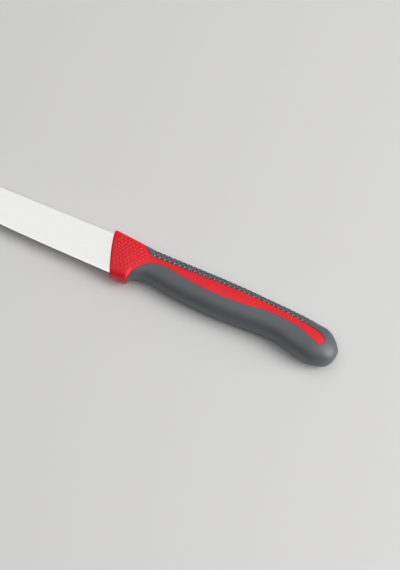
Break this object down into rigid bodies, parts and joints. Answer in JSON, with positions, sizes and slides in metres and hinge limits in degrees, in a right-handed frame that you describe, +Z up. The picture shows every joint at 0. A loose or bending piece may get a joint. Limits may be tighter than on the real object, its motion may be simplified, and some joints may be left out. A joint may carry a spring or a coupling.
{
  "type": "vegetable knife",
  "caption": "Vegetable knife with a straight-spined, gently curved blade and a moulded handle of hard plastic core and soft rubber grip, with a finger guard at the bolster.",
  "frame": {"origin": "bottom centre of the knife's box as it lies on its side, at the height of the surface under it", "axes": "-X towards the blade's point, +X towards the butt, +Y towards the spine, -Y towards the cutting edge, +Z up, square to the blade's side"},
  "size_m": [0.2394, 0.0244, 0.0152],
  "materials": {
    "steel": "bright stainless steel, finely ground along its length",
    "hard_plastic": "red, semi-gloss, with a patch of small raised studs on the bolster's sides",
    "soft_rubber": "dark grey, satin, with a knurled strip along the spine"
  },
  "bodies": {
    "root": {"blade": "steel", "handle_core": "hard_plastic", "soft_grip": "soft_rubber"}
  },
  "joints": []
}
